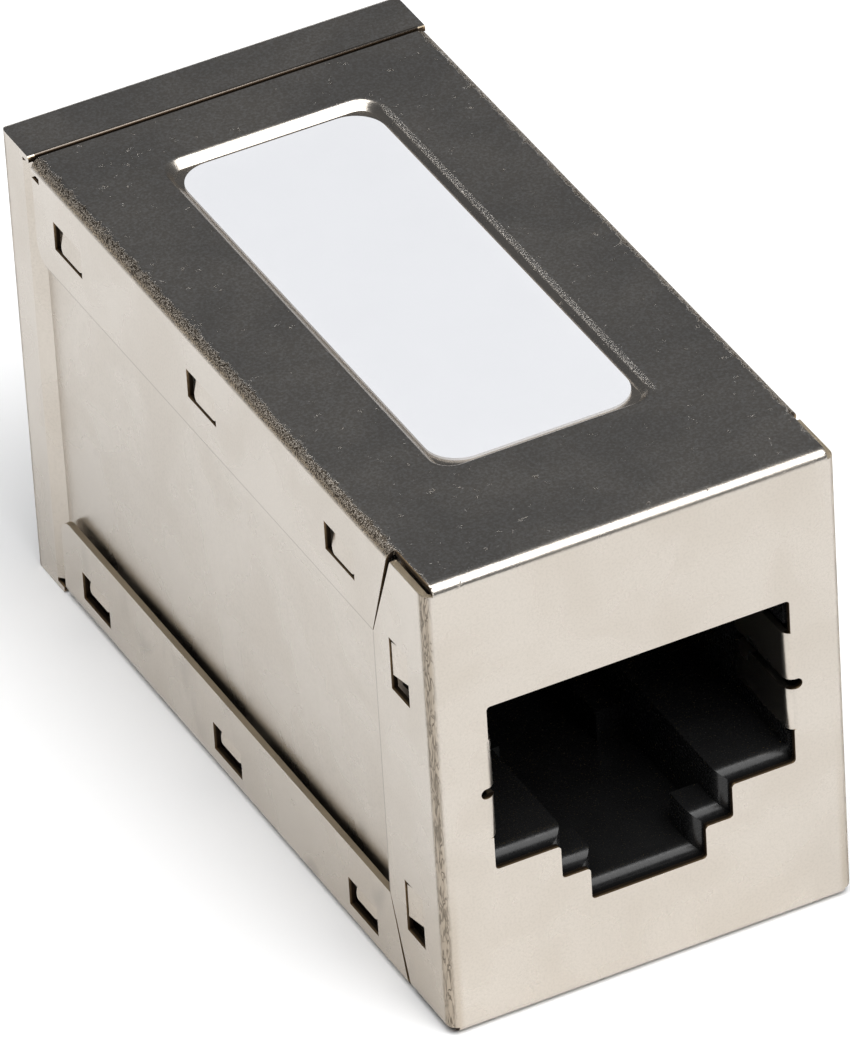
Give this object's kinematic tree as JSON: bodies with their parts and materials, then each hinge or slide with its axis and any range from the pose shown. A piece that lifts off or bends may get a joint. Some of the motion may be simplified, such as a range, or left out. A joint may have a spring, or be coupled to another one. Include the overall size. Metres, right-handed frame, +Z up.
{
  "type": "rj45 inline coupler",
  "caption": "Short rectangular inline coupler: a folded nickel-plated metal shield with a stepped modular plug port at each end and a plain white label in a pressed bed on top.",
  "frame": {"origin": "centre of the bottom face, on the surface that the coupler rests on", "axes": "+Z up through the labelled top, -Y out of the front port, +Y out of the rear port"},
  "size_m": [0.016, 0.0332, 0.0193],
  "materials": {
    "nickel_plate": "satin nickel plate",
    "white_label": "matt white paper",
    "board_laminate": "solder mask",
    "black_plastic": "semi-gloss moulded",
    "insert_plastic": "moulded",
    "gold_plate": "gold flash"
  },
  "bodies": {
    "root": {"front_shield": "nickel_plate", "rear_shield": "nickel_plate", "label": "white_label", "circuit_board": "board_laminate", "front_jack_housing": "black_plastic", "rear_jack_housing": "black_plastic", "front_contact_insert": "insert_plastic", "rear_contact_insert": "insert_plastic", "contact_front_1": "gold_plate", "contact_front_2": "gold_plate", "contact_front_3": "gold_plate", "contact_front_4": "gold_plate", "contact_front_5": "gold_plate", "contact_front_6": "gold_plate", "contact_front_7": "gold_plate", "contact_front_8": "gold_plate", "contact_rear_1": "gold_plate", "contact_rear_2": "gold_plate", "contact_rear_3": "gold_plate", "contact_rear_4": "gold_plate", "contact_rear_5": "gold_plate", "contact_rear_6": "gold_plate", "contact_rear_7": "gold_plate", "contact_rear_8": "gold_plate"}
  },
  "joints": []
}
